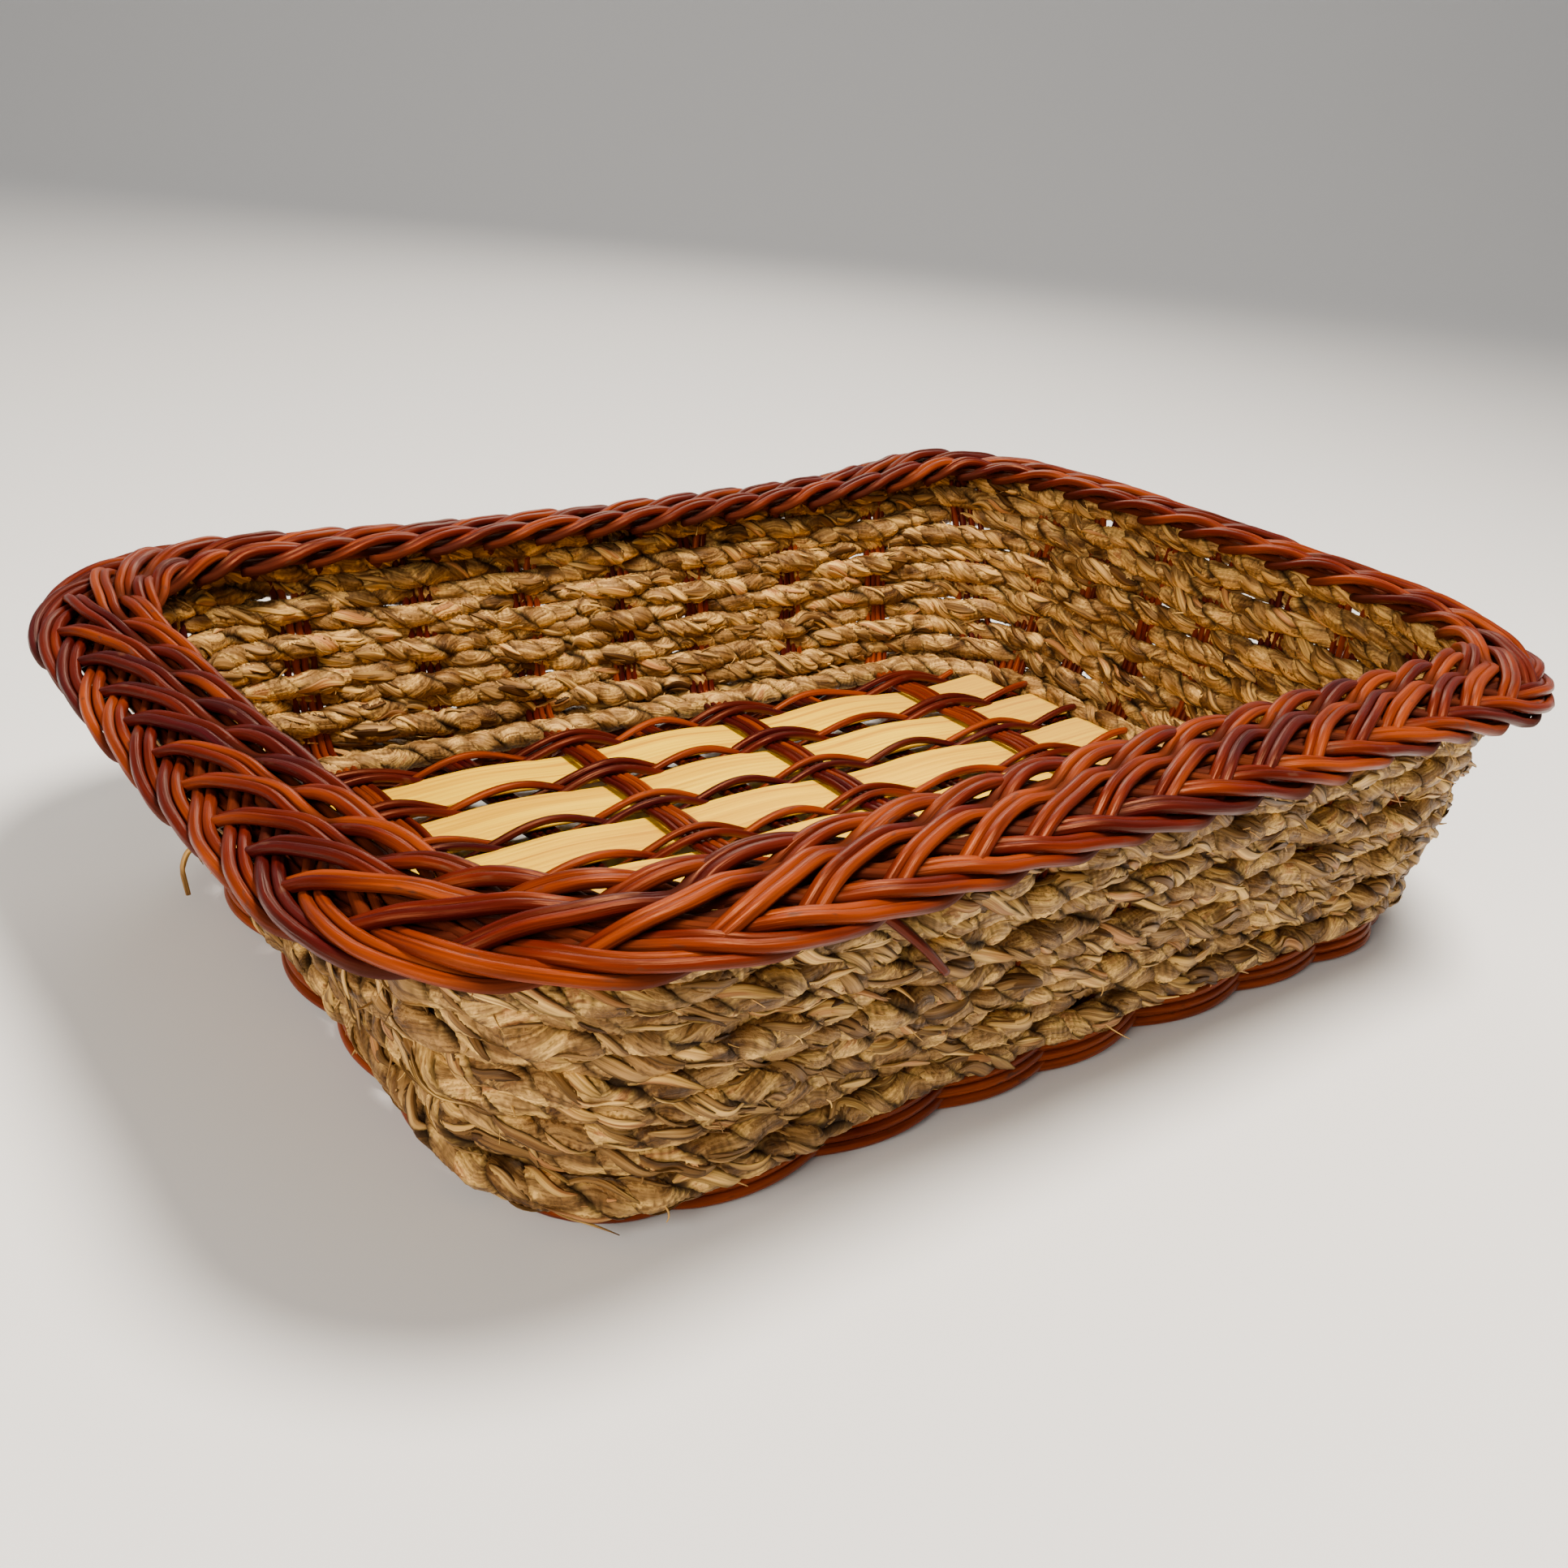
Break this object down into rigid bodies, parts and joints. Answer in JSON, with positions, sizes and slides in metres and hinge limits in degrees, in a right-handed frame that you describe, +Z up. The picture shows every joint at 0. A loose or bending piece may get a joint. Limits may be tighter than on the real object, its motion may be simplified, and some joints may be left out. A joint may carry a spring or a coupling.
{
  "type": "bread basket",
  "caption": "Shallow rectangular bread basket of twisted seagrass rope on red-brown reed stakes, with a wood slat floor and a plaited reed border.",
  "frame": {"origin": "middle of the footprint, on the surface that the foot band rests on", "axes": "+X along the long side, +Y across the basket, +Z up out of the mouth"},
  "size_m": [0.38, 0.272, 0.092],
  "materials": {
    "slat_wood": "satin",
    "red_reed": "satin",
    "seagrass": "matte"
  },
  "bodies": {
    "root": {"floor_slat_1": "slat_wood", "floor_slat_2": "slat_wood", "floor_slat_3": "slat_wood", "floor_slat_4": "slat_wood", "floor_slat_5": "slat_wood", "floor_slat_6": "slat_wood", "floor_slat_7": "slat_wood", "floor_reeds_1": "red_reed", "floor_reeds_2": "red_reed", "floor_reeds_3": "red_reed", "floor_reeds_4": "red_reed", "floor_reeds_5": "red_reed", "floor_reeds_6": "red_reed", "floor_reeds_7": "red_reed", "floor_reeds_8": "red_reed", "cross_stake_1": "red_reed", "cross_stake_2": "red_reed", "cross_stake_3": "red_reed", "cross_stake_4": "red_reed", "cross_stake_5": "red_reed", "cross_stake_6": "red_reed", "cross_stake_7": "red_reed", "cross_stake_8": "red_reed", "cross_stake_9": "red_reed", "end_stake_left_1": "red_reed", "end_stake_left_2": "red_reed", "end_stake_left_3": "red_reed", "end_stake_left_4": "red_reed", "end_stake_left_5": "red_reed", "end_stake_left_6": "red_reed", "end_stake_left_7": "red_reed", "end_stake_right_1": "red_reed", "end_stake_right_2": "red_reed", "end_stake_right_3": "red_reed", "end_stake_right_4": "red_reed", "end_stake_right_5": "red_reed", "end_stake_right_6": "red_reed", "end_stake_right_7": "red_reed", "foot_band": "red_reed", "plaited_border": "red_reed", "seagrass_row_01": "seagrass", "seagrass_row_02": "seagrass", "seagrass_row_03": "seagrass", "seagrass_row_04": "seagrass", "seagrass_row_05": "seagrass", "seagrass_row_06": "seagrass", "seagrass_row_07": "seagrass", "seagrass_row_08": "seagrass", "seagrass_row_09": "seagrass", "seagrass_row_10": "seagrass", "seagrass_row_11": "seagrass"}
  },
  "joints": []
}
